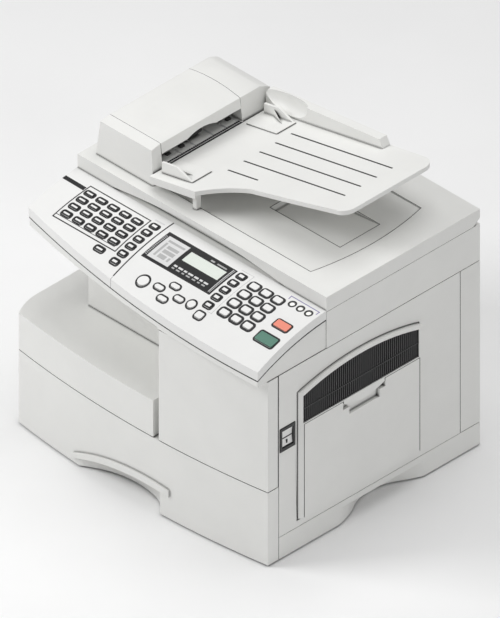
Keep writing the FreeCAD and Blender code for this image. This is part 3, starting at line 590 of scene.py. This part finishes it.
bezel_print("diagram_field", [(-37.5, -167.5, 7.0, -117.5)], PRINT_PALE)
STEP_PITCH = 3.0
STEP_STARTS = [-166 + STEP_PITCH * index for index in range(16)]
bezel_print("diagram_steps", [(-43.5, y, -39.5, y + 1.4) for y in STEP_STARTS], PRINT_GREY)
DIAGRAM = [(-31, -128, 3, -124), (-31, -161, -27, -131), (-23, -140, 0, -134), (-23, -150, 0, -143),
           (-23, -161, -8, -153), (-4, -161, 0, -153)]
bezel_print("diagram_bars", DIAGRAM, PRINT_GREY, 0.4)
# Where each bar that stands for a word starts, and its width.
WORD_BARS = [(13.0, 6.5), (22.5, 9.0), (34.5, 6.0), (43.5, 10.0), (56.5, 8.5), (68.0, 6.0), (77.0, 8.5)]
bezel_print("caption_bars", [(x, -160.5, x + width, -157.2) for x, width in WORD_BARS], PRINT_PALE)
LOW_BARS = [(x, -165.5, x + width * 0.8, -163.0) for x, width in WORD_BARS]
bezel_print("caption_bars_low", LOW_BARS, PRINT_GREY)
bezel_print("caption_bars_top", [(52, -119.8, 60, -116.8), (66, -119.8, 86, -117.2)], PRINT_GREY)
bezel_print("light_strip", [(95.3, -169.0, 96.6, -113.0), (98.2, -169.0, 99.0, -113.0)], PRINT_PALE)

# ---- document feeder ------------------------------------------------------------------------------
TRAY_SLOPE = 0.2035
TRAY_ORIGIN = (-123, 464)
RAMP_TOP = 464.5


def tray_z(x):
    """The height of the document tray's top at x."""
    return TRAY_ORIGIN[1] + TRAY_SLOPE * (x - TRAY_ORIGIN[0])


def tray_strip(build, x0, x1, y0, y1, low, high, ends=0.9):
    """A strip on the sloped tray with rounded ends."""
    outline = grown([Vector((x0 + ends, y0 + ends)), Vector((x1 - ends, y0 + ends)),
                     Vector((x1 - ends, y1 - ends)), Vector((x0 + ends, y1 - ends))], ends)
    build.loft([[(p.x, p.y, tray_z(p.x) + lift) for p in outline] for lift in (low, high)])


# The first strip is short, as it starts where the tray's front edge sweeps back.
STRIP_COUNT = 5
STRIP_START = -2.5
STRIP_PITCH = 34
# Painted shade: near-black strips, almost flush with the tray, standing in for the shade inside its grooves.
groove_shade_strips = Build()
for index in range(STRIP_COUNT):
    y = STRIP_START + STRIP_PITCH * index
    tray_strip(groove_shade_strips, -28.6, 189.6 if index else 35.6, y - 0.15, y + 2.75, -1.9, 0.12)
groove_shade_strips.piece("tray_strips", "lid", [INK])

TOOTH_COUNT = 40
TOOTH_START = -46
TOOTH_PITCH = 4.2
feed = Build()
for index in range(TOOTH_COUNT):
    y = TOOTH_START + TOOTH_PITCH * index
    feed.block((-127.6, y, RAMP_TOP - 0.6), (-124.6, y + 3.0, RAMP_TOP + 1.0), 0.3)
    feed.block((-122.8, y, RAMP_TOP - 0.6), (-120.8, y + 3.4, RAMP_TOP + 1.0), 0.3)
feed.piece("feed_brush", "lid", [INK])
ribs = Build()
for y in (-2.5, 27.5, 66, 93.5, 118):
    ribs.block((-174, y, RAMP_TOP - 0.8), (-128.5, y + 1.6, RAMP_TOP + 1.2), 0.4)
ribs.piece("feed_ribs", "lid", [FINISHES["inner_grey"]])
# Each idler's start in Y and radius, and the steps of its profile as offset and share of the radius.
IDLERS = ((-22, 3.2), (7, 4.0), (107, 3.6))
IDLER_PROFILE = ((0, 0.82), (0.6, 1.0), (8.4, 1.0), (9.0, 0.82))
IDLER_X = -142
IDLER_FACETS = 20
rollers = Build()
for y, radius in IDLERS:
    rings = []
    for step, share in IDLER_PROFILE:
        ring = []
        for turn in range(IDLER_FACETS):
            angle = 2 * math.pi * turn / IDLER_FACETS
            ring.append((IDLER_X + radius * share * math.cos(angle), y + step,
                         RAMP_TOP - 0.5 + radius * share * math.sin(angle)))
        rings.append(ring)
    rollers.loft(rings)
rollers.piece("feed_idlers", "lid", [FINISHES["roller_rubber"]])

# The gusset behind each document guide slopes down from the guide's wall to its plate.
for guide, side, low_y in (("adf_guide_front", 1, -57), ("adf_guide_rear", -1, 159)):
    gusset = Build()
    rings = []
    for x, y, rise in ((-90, low_y, 15), (-62, low_y + side * 12, 2.6)):
        rings.append([
            (x, y, tray_z(x) + 1.5), (x + 2.2, y + side * 0.8, tray_z(x) + 1.5),
            (x + 2.2, y + side * 0.8, tray_z(x) + rise), (x, y, tray_z(x) + rise),
        ])
    gusset.loft(rings)
    gusset.piece("gusset_" + guide, guide, [FINISHES["casing"]])

# ---- power switch -----------------------------------------------------------------------------
# The rocker's face is hollowed by ROCKER_SAG at its middle.
ROCKER_SAG = 1.5
ROCKER_FACE = max(point.x for point in sum(islands("power_rocker"), [])) - ROCKER_SAG
rocker_marks = Build()
rocker_marks.block((ROCKER_FACE - 1.2, -186.3, 220.9), (ROCKER_FACE + 0.45, -163.2, 222.9), 0.2)
rocker_marks.block((ROCKER_FACE - 0.6, -176.2, 210.8), (ROCKER_FACE + 1.3, -173.2, 217.4), 0.2)
rocker_marks.piece("rocker_marks", BODIES["power_rocker"], [INK])

# ---- lid ------------------------------------------------------------------------------------------
LID_TOP = surface_of("lid_cover")
LID_HEIGHT = 440


def lid_line(build, points, width=HAIRLINE, lift=0.25, step=12):
    """A thin line that lies on the lid through the points."""
    for start, end in zip(points, points[1:]):
        a = Vector(start)
        b = Vector(end)
        side = Vector((a.y - b.y, b.x - a.x)).normalized() * width / 2
        count = max(1, math.ceil((b - a).length / step))
        rings = []
        for index in range(count + 1):
            middle = a.lerp(b, index / count)
            z = height_on(LID_TOP, middle.x, middle.y, LID_HEIGHT)
            left = middle + side
            right = middle - side
            rings.append([(*left, z - BURIED_MARK), (*right, z - BURIED_MARK),
                          (*right, z + lift), (*left, z + lift)])
        build.loft(rings)


# Low X, low Y, high X and high Y of the paper recess and of the finger scoop in it.
RECESS_CORNERS = (-121.8, -59.3, 207.6, 178.8)
RECESS_BOW = 14.0
SCOOP_CORNERS = (41.2, 19.2, 192.3, 105.3)


def recess_side(steps=16):
    """The recess's bowed right edge, from its rear corner to its front corner."""
    _, low_y, high_x, high_y = RECESS_CORNERS
    points = []
    for index in range(steps + 1):
        share = index / steps
        points.append((high_x + RECESS_BOW * 4 * share * (1 - share), high_y + (low_y - high_y) * share))
    return points


def scoop_outline():
    """The finger scoop's outline, back to its first corner."""
    low_x, low_y, high_x, high_y = SCOOP_CORNERS
    return [(low_x, low_y), (high_x, low_y), (high_x, high_y), (low_x, high_y), (low_x, low_y)]


# Painted shade: near-black hairlines along the edges of the shallow paper recess and finger scoop, standing
# in for the shade at their steps.
lid_shade_lines = Build()
lid_line(lid_shade_lines, [(RECESS_CORNERS[0], RECESS_CORNERS[3])] + recess_side() + [RECESS_CORNERS[:2]])
lid_line(lid_shade_lines, scoop_outline())
lid_shade_lines.piece("lid_edge_lines", "lid", [INK])

# ---- stage, lights and camera ---------------------------------------------------------------------
VIEW_DIRECTION = Vector((1, -1, 1)).normalized()
AIM = Vector((0.0933, -0.0758, 0.3219))
VIEW_HEIGHT = 0.9421
CAMERA_DISTANCE = 3
WORLD_STRENGTH = 0.36


def make_floor():
    """A pale floor with a faint mottle."""
    made, tree, shader = new_material("floor")
    cloudy = spread(tree, noise(tree, 3.0), 0, 1)
    tree.links.new(tinted(tree, cloudy, (0.92, 0.92, 0.92), (0.95, 0.95, 0.95)), shader.inputs["Base Color"])
    shader.inputs["Roughness"].default_value = 0.8
    bpy.ops.mesh.primitive_plane_add(size=14)
    floor = bpy.context.object
    floor.name = "floor"
    floor.data.materials.append(made)


def area_light(name, place, aim, size, power):
    """A soft square light at place that shines at aim."""
    light = bpy.data.lights.new(name, "AREA")
    light.energy = power
    light.size = size
    item = bpy.data.objects.new(name, light)
    bpy.context.scene.collection.objects.link(item)
    item.location = place
    item.rotation_mode = "QUATERNION"
    item.rotation_quaternion = (Vector(aim) - Vector(place)).to_track_quat("-Z", "Y")


make_floor()
area_light("key_light", (-1.7, -2.0, 2.4), (0, 0, 0.2), 1.4, 52)
area_light("top_light", (0.2, 0.5, 3.2), (0, 0, 0.2), 2.2, 40)
area_light("fill_light", (2.8, -0.6, 1.3), (0, 0, 0.25), 1.6, 9)

world = bpy.data.worlds.new("studio")
bpy.context.scene.world = world
world.use_nodes = True
world.node_tree.nodes["Background"].inputs["Color"].default_value = (1, 1, 1, 1)
world.node_tree.nodes["Background"].inputs["Strength"].default_value = WORLD_STRENGTH
bpy.context.scene.view_settings.view_transform = "Standard"

camera_data = bpy.data.cameras.new("camera")
camera_data.type = "ORTHO"
camera_data.ortho_scale = VIEW_HEIGHT
camera = bpy.data.objects.new("camera", camera_data)
bpy.context.scene.collection.objects.link(camera)
camera.location = AIM + VIEW_DIRECTION * CAMERA_DISTANCE
camera.rotation_mode = "QUATERNION"
camera.rotation_quaternion = (-VIEW_DIRECTION).to_track_quat("-Z", "Y")
camera_data.clip_start = 0.1
camera_data.clip_end = 20
bpy.context.scene.camera = camera
